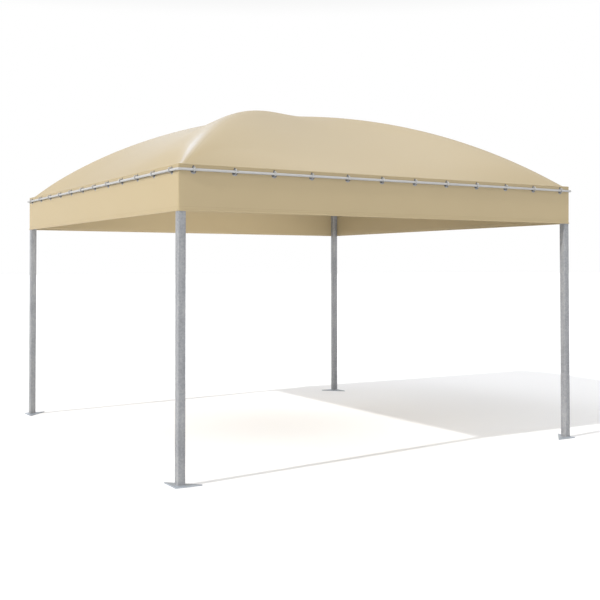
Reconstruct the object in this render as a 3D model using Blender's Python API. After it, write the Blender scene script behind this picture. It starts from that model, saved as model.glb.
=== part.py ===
"""Dome gazebo: a square galvanised frame on four posts, roofed by one fabric dome.

Two arched tubes cross over the middle and carry the dome. Below the eave the fabric hangs as
a skirt on each side. Steel staples on the eave beams reach out through oval eyelets in the
skirts, and round bars threaded through the staples hold the fabric to the frame.

Metres, +Z up. The origin is on the ground under the middle of the plan. The front is -Y.
"""

import math

import bmesh
import bpy
from mathutils import Matrix, Vector

# Overall size
PLAN = 4.0
EAVE_HEIGHT = 2.354
SKIRT_BOTTOM = 2.003
CLOTH = 0.003
GAP = 0.0003

# Ridge line of the dome over the diagonals, measured out from the middle
CROWN_HEIGHT = 3.1276
RIDGE_FALL_SQUARE = 0.09006
RIDGE_FALL_FOURTH = 0.0012944
PANEL_SAG = 0.028
ROOF_CELLS = 24

# Frame of square tube
TUBE = 0.060
TUBE_WALL = 0.003
PLATE = 0.215
PLATE_THICK = 0.008
PLATE_OUT = 0.032
BOLT_HOLE = 0.013
BOLT_FROM_TIP = 0.050
BOLT_FROM_EDGE = 0.022
BRACKET_ARM = 0.045
SPIGOT_REACH = 0.080

# Arched ribs of round tube
RIB_RADIUS = 0.024
RIB_WALL = 0.003
RIB_CLEAR = 0.0043
RIB_SIDES = 12
RIB_FOOT = 2.680
RIB_TOP = 0.083
SPIGOT_CLEAR = 0.0006
HUB_HALF_HEIGHT = 0.0205
RIB_SPIGOT_FOOT = 2.610
RIB_SPIGOT_ROOT = 2.770
HUB_SPIGOT_END = 0.200

# Bars and the staples and eyelets that hold them
BAR_RADIUS = 0.010
BAR_HEIGHT = 2.3100
BAR_STANDOFF = 0.0135
BAR_SIDES = 12
ELBOW_RADIUS = 0.021
ELBOW_STEPS = 5
STAPLES = 12
STAPLE_MARGIN = 0.120
STAPLE_WIRE = 0.008
STAPLE_PLAY = 0.003
STAPLE_CHAMFER = 0.010
STAPLE_ROOT = 0.0015
EYELET_WIDTH = 0.030
EYELET_HEIGHT = 0.060
EYELET_STEPS = 4

# Lines that the sizes above fix
HALF = PLAN / 2
FRAME_HALF = HALF - CLOTH - GAP
TUBE_MIDDLE = FRAME_HALF - TUBE / 2
FRAME_TOP = EAVE_HEIGHT - CLOTH - GAP
FRAME_BOTTOM = FRAME_TOP - TUBE
FRAME_LEVEL = FRAME_TOP - TUBE / 2
BEAM_HALF = FRAME_HALF - TUBE - BRACKET_ARM - GAP
BAR_LINE = HALF + BAR_STANDOFF
DIAGONAL = Vector((-1.0, -1.0, 0.0)).normalized()

SIDES = ("front", "right", "back", "left")
CORNERS = ("front_left", "front_right", "back_right", "back_left")


def clear_scene():
    """Remove every object of the open scene."""
    for item in list(bpy.data.objects):
        bpy.data.objects.remove(item, do_unlink=True)


def make_material(name, colour, roughness, metallic):
    """A plain Principled material."""
    material = bpy.data.materials.new(name)
    material.use_nodes = True
    shader = material.node_tree.nodes["Principled BSDF"]
    shader.inputs["Base Color"].default_value = (*colour, 1.0)
    shader.inputs["Roughness"].default_value = roughness
    shader.inputs["Metallic"].default_value = metallic
    return material


def make_mesh(name, build, smooth=False):
    """A mesh whose faces the function build adds, all facing out."""
    shape = bmesh.new()
    build(shape)
    bmesh.ops.recalc_face_normals(shape, faces=shape.faces)
    mesh = bpy.data.meshes.new(name)
    shape.to_mesh(mesh)
    shape.free()
    if smooth:
        mesh.shade_smooth()
        mesh.set_sharp_from_angle(angle=math.radians(40))
    return mesh


def place(name, mesh, material=None, parent=None, location=(0.0, 0.0, 0.0)):
    """An object of its own for a mesh."""
    item = bpy.data.objects.new(name, mesh)
    bpy.context.scene.collection.objects.link(item)
    item.parent = parent
    item.location = location
    if material and not mesh.materials:
        mesh.materials.append(material)
    return item


def combine(target, tool, operation):
    """Add a Boolean modifier with a tool object that isn't part of the gazebo itself."""
    tool.hide_render = True
    tool.display_type = 'WIRE'
    modifier = target.modifiers.new(operation.title(), 'BOOLEAN')
    modifier.operation = operation
    modifier.solver = 'EXACT'
    modifier.object = tool


def loft(shape, rings, closed=False):
    """Skin a chain of equal rings. A closed chain is a hollow tube, an open one gets caps."""
    rows = [[shape.verts.new(point) for point in ring] for ring in rings]
    chain = list(zip(rows, rows[1:]))
    if closed:
        chain.append((rows[-1], rows[0]))
    for row, following in chain:
        for index in range(len(row)):
            beside = (index + 1) % len(row)
            shape.faces.new((row[index], row[beside], following[beside], following[index]))
    if not closed:
        shape.faces.new(rows[0])
        shape.faces.new(rows[-1])


def polygon(radius, sides, first=0.0):
    """Corner points of a regular polygon about the origin, first one at an angle."""
    angles = [first + 2 * math.pi * index / sides for index in range(sides)]
    return [Vector((radius * math.cos(angle), radius * math.sin(angle), 0.0)) for angle in angles]


def square(size):
    """Corner points of a square about the origin with its sides along X and Y."""
    return polygon(size / math.sqrt(2), 4, math.pi / 4)


def moved(ring, matrix):
    """A ring of points taken through a matrix."""
    return [matrix @ point for point in ring]


def along(start, end):
    """The turn that takes +Z to the direction from start to end, with X kept level."""
    forward = (end - start).normalized()
    level = forward.cross(Vector((0.0, 0.0, 1.0))).normalized()
    above = level.cross(forward)
    return Matrix((level, above, forward)).transposed().to_4x4()


def box(shape, low, high):
    """A plain block between two corners."""
    size = [top - bottom for bottom, top in zip(low, high)]
    middle = [(top + bottom) / 2 for bottom, top in zip(low, high)]
    matrix = Matrix.Translation(middle) @ Matrix.Diagonal((*size, 1.0))
    bmesh.ops.create_cube(shape, size=1.0, matrix=matrix)


def prism_along_x(shape, outline, middle, width):
    """A block whose outline of (y, z) points is drawn out along X."""
    ends = (middle - width / 2, middle + width / 2)
    loft(shape, [[Vector((x, y, z)) for y, z in outline] for x in ends])


def square_tube(shape, length):
    """Square tube of the frame standing on the origin."""
    outer = square(TUBE)
    inner = square(TUBE - 2 * TUBE_WALL)
    top = Matrix.Translation((0.0, 0.0, length))
    loft(shape, [outer, moved(outer, top), moved(inner, top), inner], closed=True)


def ridge_height(reach):
    """Height of the dome's outer ridge at a distance from the middle along a diagonal."""
    return CROWN_HEIGHT - RIDGE_FALL_SQUARE * reach ** 2 - RIDGE_FALL_FOURTH * reach ** 4


def rib_point(reach):
    """Middle of the rib tube, straight in from the ridge line at that distance."""
    slope = -2 * RIDGE_FALL_SQUARE * reach - 4 * RIDGE_FALL_FOURTH * reach ** 3
    depth = (CLOTH + RIB_CLEAR + RIB_RADIUS) / math.hypot(1.0, slope)
    return DIAGONAL * (reach + slope * depth) + Vector((0.0, 0.0, ridge_height(reach) - depth))


def roof_height(x, y):
    """Height of the outer fabric. It sags between the ribs and ends level at the eave."""
    reach = max(abs(x), abs(y))
    if reach > HALF - GAP:
        return EAVE_HEIGHT
    if reach == 0.0:
        return CROWN_HEIGHT
    across = min(abs(x), abs(y)) / reach
    sag = PANEL_SAG * math.sin(math.pi * reach / HALF) * (1 - across ** 2)
    return ridge_height(reach * math.sqrt(2)) - sag


def staple_positions():
    """Places of the staples along one side."""
    pitch = (PLAN - 2 * STAPLE_MARGIN) / (STAPLES - 1)
    return [-HALF + STAPLE_MARGIN + pitch * index for index in range(STAPLES)]


# Roof cover
def build_roof(shape):
    """One sheet over the whole frame, its cells split along lines that run to the crown."""
    count = ROOF_CELLS + 1
    steps = [-HALF + PLAN * index / ROOF_CELLS for index in range(count)]
    layers = []
    for drop in (0.0, CLOTH):
        heights = [[(x, y, roof_height(x, y) - drop) for x in steps] for y in steps]
        layers.append([[shape.verts.new(point) for point in row] for row in heights])
    for grid in layers:
        for row in range(ROOF_CELLS):
            for column in range(ROOF_CELLS):
                a = grid[row][column]
                b = grid[row][column + 1]
                c = grid[row + 1][column + 1]
                d = grid[row + 1][column]
                rising = (row < ROOF_CELLS / 2) == (column < ROOF_CELLS / 2)
                halves = ((a, b, c), (a, c, d)) if rising else ((a, b, d), (b, c, d))
                for corners in halves:
                    shape.faces.new(corners)
    top, bottom = layers
    rims = [[grid[0] for grid in layers], [grid[-1] for grid in layers]]
    rims += [[[row[side] for row in grid] for grid in layers] for side in (0, -1)]
    for upper, lower in rims:
        for index in range(ROOF_CELLS):
            shape.faces.new((upper[index], upper[index + 1], lower[index + 1], lower[index]))


# Skirt
def build_skirt(shape):
    """Upright sheet of the front side. One end laps the next skirt's end."""
    low = (-HALF, -HALF, SKIRT_BOTTOM)
    high = (HALF - CLOTH - GAP, -HALF + CLOTH, FRAME_TOP)
    box(shape, low, high)


def build_eyelet_cutters(shape):
    """Upright ovals through the front skirt."""
    radius = EYELET_WIDTH / 2
    straight = EYELET_HEIGHT / 2 - radius
    outline = []
    for end in (1, -1):
        for step in range(EYELET_STEPS + 1):
            angle = math.pi * step / EYELET_STEPS
            outline.append((end * radius * math.cos(angle), end * (straight + radius * math.sin(angle))))
    for middle in staple_positions():
        faces = []
        for y in (-HALF - CLOTH, -HALF + 2 * CLOTH):
            faces.append([Vector((middle + x, y, BAR_HEIGHT + z)) for x, z in outline])
        loft(shape, faces)


# Eave beam
def build_staples(shape):
    """Staples of the front side: each reaches out from the beam, over and under the bar."""
    root = -FRAME_HALF + STAPLE_ROOT
    tip = -BAR_LINE - BAR_RADIUS - GAP - STAPLE_WIRE
    throat = tip + STAPLE_WIRE
    low_inside = BAR_HEIGHT - BAR_RADIUS - GAP
    high_inside = BAR_HEIGHT + BAR_RADIUS + STAPLE_PLAY
    low = low_inside - STAPLE_WIRE
    high = high_inside + STAPLE_WIRE
    outline = [
        (root, low), (tip + STAPLE_CHAMFER, low), (tip, low + STAPLE_CHAMFER),
        (tip, high - STAPLE_CHAMFER), (tip + STAPLE_CHAMFER, high), (root, high),
        (root, high_inside), (throat, high_inside), (throat, low_inside), (root, low_inside),
    ]
    for middle in staple_positions():
        prism_along_x(shape, outline, middle, STAPLE_WIRE)


def build_beam(shape):
    """Square tube along the front, open at both ends."""
    square_tube(shape, 2 * BEAM_HALF)
    turn = Matrix.Rotation(math.pi / 2, 4, 'Y')
    shift = Matrix.Translation((-BEAM_HALF, -TUBE_MIDDLE, FRAME_LEVEL))
    bmesh.ops.transform(shape, matrix=shift @ turn, verts=shape.verts)


# Corner bracket
def build_bracket_body(shape):
    """Corner block of the front left corner."""
    low = (-FRAME_HALF, -FRAME_HALF, FRAME_BOTTOM)
    box(shape, low, (-FRAME_HALF + TUBE, -FRAME_HALF + TUBE, FRAME_TOP))


def build_bracket_arms(shape):
    """Arm of the block's own section along the front, and its spigot into the beam."""
    root = -FRAME_HALF + TUBE / 2
    arm_end = -FRAME_HALF + TUBE + BRACKET_ARM
    spigot = TUBE / 2 - TUBE_WALL - GAP
    rings = []
    for x, half in ((root, TUBE / 2), (arm_end, TUBE / 2), (arm_end, spigot),
                    (arm_end + SPIGOT_REACH, spigot)):
        corners = ((-half, -half), (half, -half), (half, half), (-half, half))
        rings.append([Vector((x, -TUBE_MIDDLE + y, FRAME_LEVEL + z)) for y, z in corners])
    loft(shape, rings)


def build_bracket_side_arm(shape):
    """The same arm mirrored over the diagonal, along the left side."""
    build_bracket_arms(shape)
    swap = Matrix(((0, 1, 0, 0), (1, 0, 0, 0), (0, 0, 1, 0), (0, 0, 0, 1)))
    bmesh.ops.transform(shape, matrix=swap, verts=shape.verts)


def build_bracket_foot(shape):
    """Square spigot down into the post."""
    half = TUBE / 2 - TUBE_WALL - GAP
    low = (-TUBE_MIDDLE - half, -TUBE_MIDDLE - half, FRAME_BOTTOM - SPIGOT_REACH)
    box(shape, low, (-TUBE_MIDDLE + half, -TUBE_MIDDLE + half, FRAME_LEVEL))


def stepped_spigot(shape, inside, shoulder, tip, root_radius):
    """Round spigot for a rib: thick from inside to the shoulder, then thin to the tip."""
    thin = RIB_RADIUS - RIB_WALL - SPIGOT_CLEAR
    turn = along(inside, tip)
    rings = []
    for point, radius in ((inside, root_radius), (shoulder, root_radius), (shoulder, thin), (tip, thin)):
        rings.append(moved(polygon(radius, RIB_SIDES), Matrix.Translation(point) @ turn))
    loft(shape, rings)


def build_bracket_rib_spigot(shape):
    """Round spigot that rises along the diagonal into the foot of the rib."""
    foot = rib_point(RIB_FOOT)
    above = rib_point(rib_stations()[-2])
    direction = (above - foot).normalized()
    inside = foot - direction * (RIB_SPIGOT_ROOT - RIB_FOOT) * math.hypot(1.0, direction.z)
    tip = foot + direction * (RIB_FOOT - RIB_SPIGOT_FOOT)
    stepped_spigot(shape, inside, foot - direction * GAP, tip, RIB_RADIUS)


# Rib
def rib_stations():
    """Distances from the middle where the rib's straight stretches meet, as on the roof's ridge."""
    pitch = PLAN / ROOF_CELLS * math.sqrt(2)
    between = [pitch * index for index in range(1, ROOF_CELLS // 2)]
    return [RIB_TOP, *between, RIB_FOOT]


def build_rib(shape):
    """Half an arch of round tube over the front left diagonal, open at both ends."""
    points = [rib_point(reach) for reach in rib_stations()]
    frames = []
    for index, point in enumerate(points):
        before = points[max(index - 1, 0)]
        after = points[min(index + 1, len(points) - 1)]
        frames.append(Matrix.Translation(point) @ along(before, after))
    outer = polygon(RIB_RADIUS, RIB_SIDES)
    inner = polygon(RIB_RADIUS - RIB_WALL, RIB_SIDES)
    rings = [moved(outer, frame) for frame in frames]
    rings += [moved(inner, frame) for frame in reversed(frames)]
    loft(shape, rings, closed=True)


# Crown hub
def build_hub_body(shape):
    """Eight-sided drum whose flats face the ribs."""
    level = rib_point(RIB_TOP)
    flat = Vector((level.x, level.y)).length - 3 * GAP
    outline = polygon(flat / math.cos(math.pi / 8), 8, math.pi / 8)
    ends = (level.z - HUB_HALF_HEIGHT, level.z + HUB_HALF_HEIGHT)
    loft(shape, [moved(outline, Matrix.Translation((0.0, 0.0, z))) for z in ends])


def build_hub_spigots(shape):
    """Four round spigots out of the drum into the tops of the ribs."""
    top, below = [rib_point(reach) for reach in rib_stations()[:2]]
    direction = (below - top).normalized()
    start = top - direction * TUBE / 2
    end = top + direction * (HUB_SPIGOT_END - RIB_TOP)
    thin = RIB_RADIUS - RIB_WALL - SPIGOT_CLEAR
    for quarter in range(4):
        turn = Matrix.Rotation(math.pi / 2 * quarter, 4, 'Z')
        lay = turn @ Matrix.Translation(start) @ along(start, end)
        far = turn @ Matrix.Translation(end) @ along(start, end)
        ring = polygon(min(thin, HUB_HALF_HEIGHT - GAP), RIB_SIDES)
        loft(shape, [moved(ring, lay), moved(ring, far)])


# Post and foot plate
def build_post(shape):
    """Square tube from the plate up to the bracket."""
    square_tube(shape, FRAME_BOTTOM - PLATE_THICK - 2 * GAP)


def build_plate(shape):
    """Three-cornered plate on the ground, with its right angle at the outer corner."""
    outline = [Vector((0.0, 0.0, 0.0)), Vector((PLATE, 0.0, 0.0)), Vector((0.0, PLATE, 0.0))]
    loft(shape, [moved(outline, Matrix.Translation((0.0, 0.0, z))) for z in (0.0, PLATE_THICK)])


def build_bolt_cutters(shape):
    """Holes near the plate's two sharp corners."""
    reach = PLATE - BOLT_FROM_TIP
    for x, y in ((reach, BOLT_FROM_EDGE), (BOLT_FROM_EDGE, reach)):
        ring = polygon(BOLT_HOLE / 2, 12)
        ends = (-PLATE_THICK, 2 * PLATE_THICK)
        loft(shape, [moved(ring, Matrix.Translation((x, y, z))) for z in ends])


# Bars
def build_bar(shape):
    """Round bar along the front."""
    reach = BAR_LINE - ELBOW_RADIUS - GAP
    ring = moved(polygon(BAR_RADIUS, BAR_SIDES), Matrix.Rotation(math.pi / 2, 4, 'Y'))
    middle = Vector((0.0, -BAR_LINE, BAR_HEIGHT))
    loft(shape, [[point + middle + Vector((x, 0.0, 0.0)) for point in ring] for x in (-reach, reach)])


def build_elbow(shape):
    """Quarter bend that joins two bars round the front left corner."""
    centre = Vector((-BAR_LINE + ELBOW_RADIUS, -BAR_LINE + ELBOW_RADIUS, BAR_HEIGHT))
    rings = []
    for step in range(ELBOW_STEPS + 1):
        turn = math.pi / 2 * step / ELBOW_STEPS
        upright = Matrix.Rotation(math.pi / 2, 4, 'X')
        out = Matrix.Translation((-ELBOW_RADIUS, 0.0, 0.0))
        frame = Matrix.Translation(centre) @ Matrix.Rotation(turn, 4, 'Z') @ out @ upright
        rings.append(moved(polygon(BAR_RADIUS, BAR_SIDES), frame))
    loft(shape, rings)


def make_gazebo():
    """All pieces. A quarter holds one side and the corner at its left end."""
    steel = make_material("galvanised_steel", (0.42, 0.43, 0.44), 0.45, 0.85)
    bar_steel = make_material("bar_steel", (0.50, 0.51, 0.53), 0.35, 0.90)
    fabric = make_material("coated_fabric", (0.66, 0.57, 0.40), 0.50, 0.0)

    place("roof_cover", make_mesh("roof_cover", build_roof), fabric)
    hub = place("crown_hub", make_mesh("crown_hub", build_hub_body), steel)
    combine(hub, place("hub_spigots", make_mesh("hub_spigots", build_hub_spigots)), 'UNION')

    skirt_mesh = make_mesh("skirt", build_skirt)
    eyelet_mesh = make_mesh("eyelet_cutters", build_eyelet_cutters)
    beam_mesh = make_mesh("eave_beam", build_beam)
    staple_mesh = make_mesh("staples", build_staples)
    bar_mesh = make_mesh("tension_bar", build_bar, smooth=True)
    post_mesh = make_mesh("post", build_post)
    plate_mesh = make_mesh("foot_plate", build_plate)
    bolt_mesh = make_mesh("bolt_cutters", build_bolt_cutters)
    bracket_mesh = make_mesh("corner_bracket", build_bracket_body)
    bracket_parts = {
        "front_arm": make_mesh("front_arm", build_bracket_arms),
        "side_arm": make_mesh("side_arm", build_bracket_side_arm),
        "foot": make_mesh("foot", build_bracket_foot),
        "rib_spigot": make_mesh("rib_spigot", build_bracket_rib_spigot),
    }
    elbow_mesh = make_mesh("bar_elbow", build_elbow, smooth=True)
    rib_mesh = make_mesh("rib", build_rib, smooth=True)

    for quarter, (side, corner) in enumerate(zip(SIDES, CORNERS)):
        turn = place(side + "_quarter", None)
        turn.rotation_euler.z = math.pi / 2 * quarter

        skirt = place("skirt_" + side, skirt_mesh, fabric, turn)
        combine(skirt, place("eyelets_" + side, eyelet_mesh, parent=turn), 'DIFFERENCE')
        beam = place("eave_beam_" + side, beam_mesh, steel, turn)
        combine(beam, place("staples_" + side, staple_mesh, parent=turn), 'UNION')
        place("tension_bar_" + side, bar_mesh, bar_steel, turn)

        at_post = (-TUBE_MIDDLE, -TUBE_MIDDLE, PLATE_THICK + GAP)
        at_plate = (-FRAME_HALF - PLATE_OUT, -FRAME_HALF - PLATE_OUT, 0.0)
        place("post_" + corner, post_mesh, steel, turn, at_post)
        plate = place("foot_plate_" + corner, plate_mesh, steel, turn, at_plate)
        combine(plate, place("bolts_" + corner, bolt_mesh, None, turn, at_plate), 'DIFFERENCE')
        bracket = place("corner_bracket_" + corner, bracket_mesh, steel, turn)
        for part, mesh in bracket_parts.items():
            combine(bracket, place(part + "_" + corner, mesh, parent=turn), 'UNION')
        place("rib_" + corner, rib_mesh, steel, turn)
        place("bar_elbow_" + corner, elbow_mesh, bar_steel, turn)


clear_scene()
make_gazebo()
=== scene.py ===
"""Looks of the dome gazebo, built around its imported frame.

Every piece is modelled for the front side or the front left corner, and copied by quarter turns to
the other sides and corners. Metres, +Z up, the front is -Y, as in the frame.
"""

import math

import bmesh
import bpy
import numpy as np
from mathutils import Matrix, Vector


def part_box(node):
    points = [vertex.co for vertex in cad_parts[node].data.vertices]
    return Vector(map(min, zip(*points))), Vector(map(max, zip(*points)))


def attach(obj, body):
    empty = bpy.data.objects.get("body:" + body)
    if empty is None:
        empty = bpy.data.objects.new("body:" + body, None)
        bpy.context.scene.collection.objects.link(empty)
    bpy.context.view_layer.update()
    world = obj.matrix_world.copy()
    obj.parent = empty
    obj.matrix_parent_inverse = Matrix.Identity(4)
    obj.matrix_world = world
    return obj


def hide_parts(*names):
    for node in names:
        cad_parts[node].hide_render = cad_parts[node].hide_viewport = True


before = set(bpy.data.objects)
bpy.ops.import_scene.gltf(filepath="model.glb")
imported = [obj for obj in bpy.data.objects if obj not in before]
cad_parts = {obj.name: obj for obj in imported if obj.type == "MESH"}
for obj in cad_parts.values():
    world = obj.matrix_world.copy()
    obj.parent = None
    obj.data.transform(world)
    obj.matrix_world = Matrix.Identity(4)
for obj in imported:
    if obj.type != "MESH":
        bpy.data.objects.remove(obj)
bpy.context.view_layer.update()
bpy.ops.object.select_all(action="DESELECT")

SIDES = ("front", "right", "back", "left")
CORNERS = ("front_left", "front_right", "back_right", "back_left")
BODY = "root"

# Sizes read from the frame
CLOTH_IN_FRAME = 0.003
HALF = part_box("roof_cover")[1].x
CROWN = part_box("roof_cover")[1].z
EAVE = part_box("roof_cover")[0].z + CLOTH_IN_FRAME
SKIRT_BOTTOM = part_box("skirt_front")[0].z
SKIRT_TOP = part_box("skirt_front")[1].z
BEAM_LOW, BEAM_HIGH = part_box("eave_beam_front")
POST_LOW, POST_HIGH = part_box("post_front_left")
PLATE_LOW, PLATE_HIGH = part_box("foot_plate_front_left")
BAR_LOW, BAR_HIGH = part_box("tension_bar_front")
FRAME_FACE = POST_LOW.x
TUBE = POST_HIGH.x - POST_LOW.x
BAR_LEVEL = (BAR_LOW.z + BAR_HIGH.z) / 2
BAR_LINE = (BAR_LOW.y + BAR_HIGH.y) / 2
BAR_RADIUS = (BAR_HIGH.z - BAR_LOW.z) / 2
ELBOW_RADIUS = -BAR_LINE - BAR_HIGH.x

# Gap between pieces that touch, as in the frame
GAP = 0.0003

# How near counts as the same place, what counts as long, and what share as nearly all
NEAR = 0.0001
CLOSE = 0.001
LONG_EDGE = 0.05
ARM_EDGE = 0.04
NEARLY = 0.9
WELD_DISTANCE = 0.00002
TINY = 1e-9

# Fabric. A ridge falls from the crown with the square and the fourth power of its length
FABRIC = 0.0008
LAYER_GAP = 0.0001
RIDGE_FALL_SQUARE = 0.09006
RIDGE_FALL_FOURTH = 0.0012944
RIDGE_DROP = 0.0014
RIDGE_ROUND = 0.106
RIDGE_END = 0.2
RIDGE_END_POWER = 0.7
RIDGE_THINNEST = 0.0001
RIDGE_SPREAD = 0.216
RIDGE_SPREAD_OUTER = 0.7
RIDGE_CHANGE = 1.0
SAG_MIDDLE = 0.0439
SAG_LOWER = -0.0088
SAG_POWER = 2.2
EAVE_EASE = 0.004
CORNER_RADIUS = 0.007
CORNER_OPEN = 0.0125
CORNER_POWER = 1.4
EAVE_RADIUS = 0.006
LAP_DEPTH = 0.010
LEDGE = 0.045

# Spacing of the roof's points: rings from the crown out, and places along a side from its corner
DOME_RINGS = 44
DOME_POWER = 0.9
LEDGE_SHARES = (0.75, 0.5, 0.3)
EAVE_STEPS = 5
FIRST_STEP = 0.003
STEP_GROWTH = 1.18
WIDEST_STEP = 0.075

# Seams of the fabric: beside the ridges, and over the hem
SEAM_ASIDE = 0.030
SEAM_HALF = 0.0015
SEAM_ABOVE_EAVE = 0.002
HEM_LINE = 0.034
HEM_LINE_HALF = 0.0012

# Skirts. The hem is rolled through an angle, in degrees. The hanging part waves: size, rate, start
SKIRT_ROWS = 14
SKIRT_RUNS = 96
FOLD_STEPS = 10
HEM_HALF_HEIGHT = 0.0055
HEM_HALF_THICK = 0.0034
HEM_OUT = 0.0012
HEM_NECK = 0.002
HEM_START = 60
HEM_TURN = 300
HEM_STEPS = 14
TAIL = 0.022
TAIL_ROOT = 0.002
TUCK_FADE = 2
RIPPLE = 0.0012
RIPPLE_POWER = 1.5
RIPPLE_MARGIN = 0.1
RIPPLE_GROWTH = 0.4
RIPPLE_WAVES = ((1.0, 5.3, 0.6), (0.6, 9.1, 2.0), (0.3, 17.0, 0.0))

# Eyelets, and the staples that stand in them
STAPLES = 12
STAPLE_MARGIN = 0.120
EYELET_WIDTH = 0.030
EYELET_HEIGHT = 0.046
EYELET_NARROWING = 0.45
RING_HALF_WIDTH = 0.0055
RING_HALF_THICK = 0.0013
RING_OUT = 0.0045
RING_SIDES = 12
RING_STEPS = 12
PUNCH_SIDES = 24
PUNCH_DEPTH = 0.02

# Steel tube and wire
WALL = 0.003
TUBE_CORNER = 0.006
ROUND_SIDES = 28
WIRE = 0.004
WIRE_BEND = 0.008
WIRE_SIDES = 12
WIRE_BEND_STEPS = 5
WIRE_ROOM = 0.003
WIRE_ROOT = 0.001
WIRE_WELD_BASE = 0.0065
WIRE_WELD_TIP = 0.0038
WIRE_WELD_DEPTH = 0.0022
BAR_EDGE = 0.0008
ELBOW_STEPS = 12

# Foot plates and the weld bead round each post. A slope is a rise and a shrinkage
ANCHOR_ALONG = 0.165
ANCHOR_IN = 0.022
ANCHOR_RADIUS = 0.0065
ANCHOR_DRILL = (-0.02, 0.03)
PLATE_CORNER = 0.003
PLATE_EDGE = 0.0009
BEAD_OUT = 0.006
BEAD_SEAT = 0.0001
BEAD_WALL = 0.0021
BEAD_SLOPES = ((0.0022, 0.956), (0.0014, 0.93))
BEAD_CORNER = 0.007

# Corner brackets
ARM = 0.045
BRACKET_EDGE = 0.004
SPIGOT_LENGTH = 0.08
BRACKET_BOLT = 0.011
BRACKET_BOLT_PAST_ARM = 0.04

# Ribs, measured along the ground from the crown, and the hub
RIB_RADIUS = 0.024
RIB_CLEAR = 0.0043
RIB_TOP = 0.083
RIB_FOOT = 2.680
RIB_FOOT_RUN = 0.09
RIB_SPIGOT_ROOT = 2.770
RIB_STEPS = 48
RIB_RESOLUTION = 10
HUB_SIDES = 8
HUB_HALF_HEIGHT = 0.0205
HUB_CLEAR = 0.0009
HUB_EDGE = 0.003
HUB_FACE_AREA = 0.001
HUB_RIM = 0.014
HUB_RECESS = 0.004
HUB_SPIGOT_RUN = 0.117
HUB_SPIGOT_ROOT = 0.03
HUB_SPIGOT_RADIUS = 0.0199
HUB_BOLT = 0.018

# Bolts, as shares of their size
WASHER_TOP = 0.18
WASHER_RADIUS = 0.95
HEAD_TOP = 0.75
HEAD_RADIUS = 0.62
HEAD_INSET = 0.1
HEAD_CROWN = 0.05

# Colours
BEIGE_DARK = (0.380, 0.304, 0.178)
BEIGE_LIGHT = (0.400, 0.321, 0.190)
SEAM_BROWN = (0.28, 0.215, 0.115)
ZINC_RANGE = [(0.0, (0.15, 0.156, 0.168)), (0.5, (0.275, 0.282, 0.295)), (1.0, (0.41, 0.41, 0.41))]
# Painted shade: dark zinc for the beams' outer faces behind the eyelets
ZINC_PAINTED_SHADE = (0.075, 0.075, 0.08)
ZINC_WIRE = (0.43, 0.43, 0.43)
ZINC_PLATE = (0.40, 0.44, 0.49)
BAR_GREY = (0.39, 0.39, 0.39)
BAR_PALE = (0.45, 0.45, 0.445)
FLOOR_WHITE = (0.93, 0.935, 0.95)

# Where the zinc changes: margins past the pieces' faces
PLATE_MARGIN = 0.004
BEAM_MARGIN = 0.002
WIRE_MARGIN = 0.003
BEAM_FACE_MARGIN = 0.0004
CLOTH_MARGIN = 0.001

# Light
SUN_POWER = 2.3
SUN_WIDTH = 1.0
SUN_COLOUR = (1.0, 0.985, 0.96)
SUN_PLACE = (0.0, 0.0, 8.0)
SUN_WAY = (1.64, 0.205, -1.0)
SKY_POWER = 1.786
SKY_LEVELS = ((0.0, 0.56), (0.26, 0.56), (0.33, 0.40), (0.53, 0.42), (0.61, 1.0), (0.82, 1.0), (0.91, 0.0))
FILL_SIZE = (3.0, 0.3)
FILL_POWER = 15.0
FILL_SPREAD = 60.0
FILL_PLACE = (0.0, -2.2, 0.25)
FILL_WAY = (0.0, 4.2, 2.0)

# Floor and camera
FLOOR_SIZE = 400.0
FLOOR_LEVEL = -0.0005
SENSOR_WIDTH = 36.0
LENS = 56.457
LENS_SHIFT = (0.03115, -0.08847)
VIEW_END = 500.0
CAMERA_PLACE = (-4.78729, -8.28717, 1.588)
CAMERA_RISE = 0.022324
CAMERA_TURN = -0.526421


# Modelling helpers
def choose(item):
    """Make an object the only selected one, and the active one."""
    bpy.ops.object.select_all(action="DESELECT")
    item.select_set(True)
    bpy.context.view_layer.objects.active = item


def added(name):
    """Name the primitive that was just added, and put its place into its mesh."""
    item = bpy.context.object
    item.name = name
    item.data.name = name
    bpy.ops.object.transform_apply(location=True, rotation=True, scale=True)
    return item


def placed(name, data):
    """A new object in the scene, made of some data."""
    item = bpy.data.objects.new(name, data)
    bpy.context.scene.collection.objects.link(item)
    return item


def from_shape(name, shape):
    """The object of a finished bmesh, which is freed."""
    mesh = bpy.data.meshes.new(name)
    shape.to_mesh(mesh)
    shape.free()
    return placed(name, mesh)


def block(name, low, high):
    """Cube stretched between two corners."""
    low = Vector(low)
    high = Vector(high)
    bpy.ops.mesh.primitive_cube_add(size=1.0, location=(low + high) / 2, scale=high - low)
    return added(name)


def rod(name, start, end, radius, sides=ROUND_SIDES):
    """Cylinder between two points."""
    start = Vector(start)
    end = Vector(end)
    turn = (end - start).to_track_quat("Z", "Y").to_euler()
    bpy.ops.mesh.primitive_cylinder_add(
        vertices=sides, radius=radius, depth=(end - start).length, location=(start + end) / 2, rotation=turn)
    return added(name)


def edit(item):
    """Open an object's mesh in edit mode with nothing selected."""
    choose(item)
    bpy.ops.object.mode_set(mode="EDIT")
    bpy.ops.mesh.select_all(action="DESELECT")


def done():
    """Leave edit mode."""
    bpy.ops.object.mode_set(mode="OBJECT")


def pick(kind, test):
    """In edit mode, select the vertices, edges or faces that pass a test."""
    bpy.ops.mesh.select_mode(type=kind)
    bpy.ops.mesh.select_all(action="DESELECT")
    mesh = bpy.context.edit_object.data
    shape = bmesh.from_edit_mesh(mesh)
    parts = {"VERT": shape.verts, "EDGE": shape.edges, "FACE": shape.faces}[kind]
    for part in parts:
        part.select = bool(test(part))
    shape.select_flush_mode()
    bmesh.update_edit_mesh(mesh)


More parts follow.
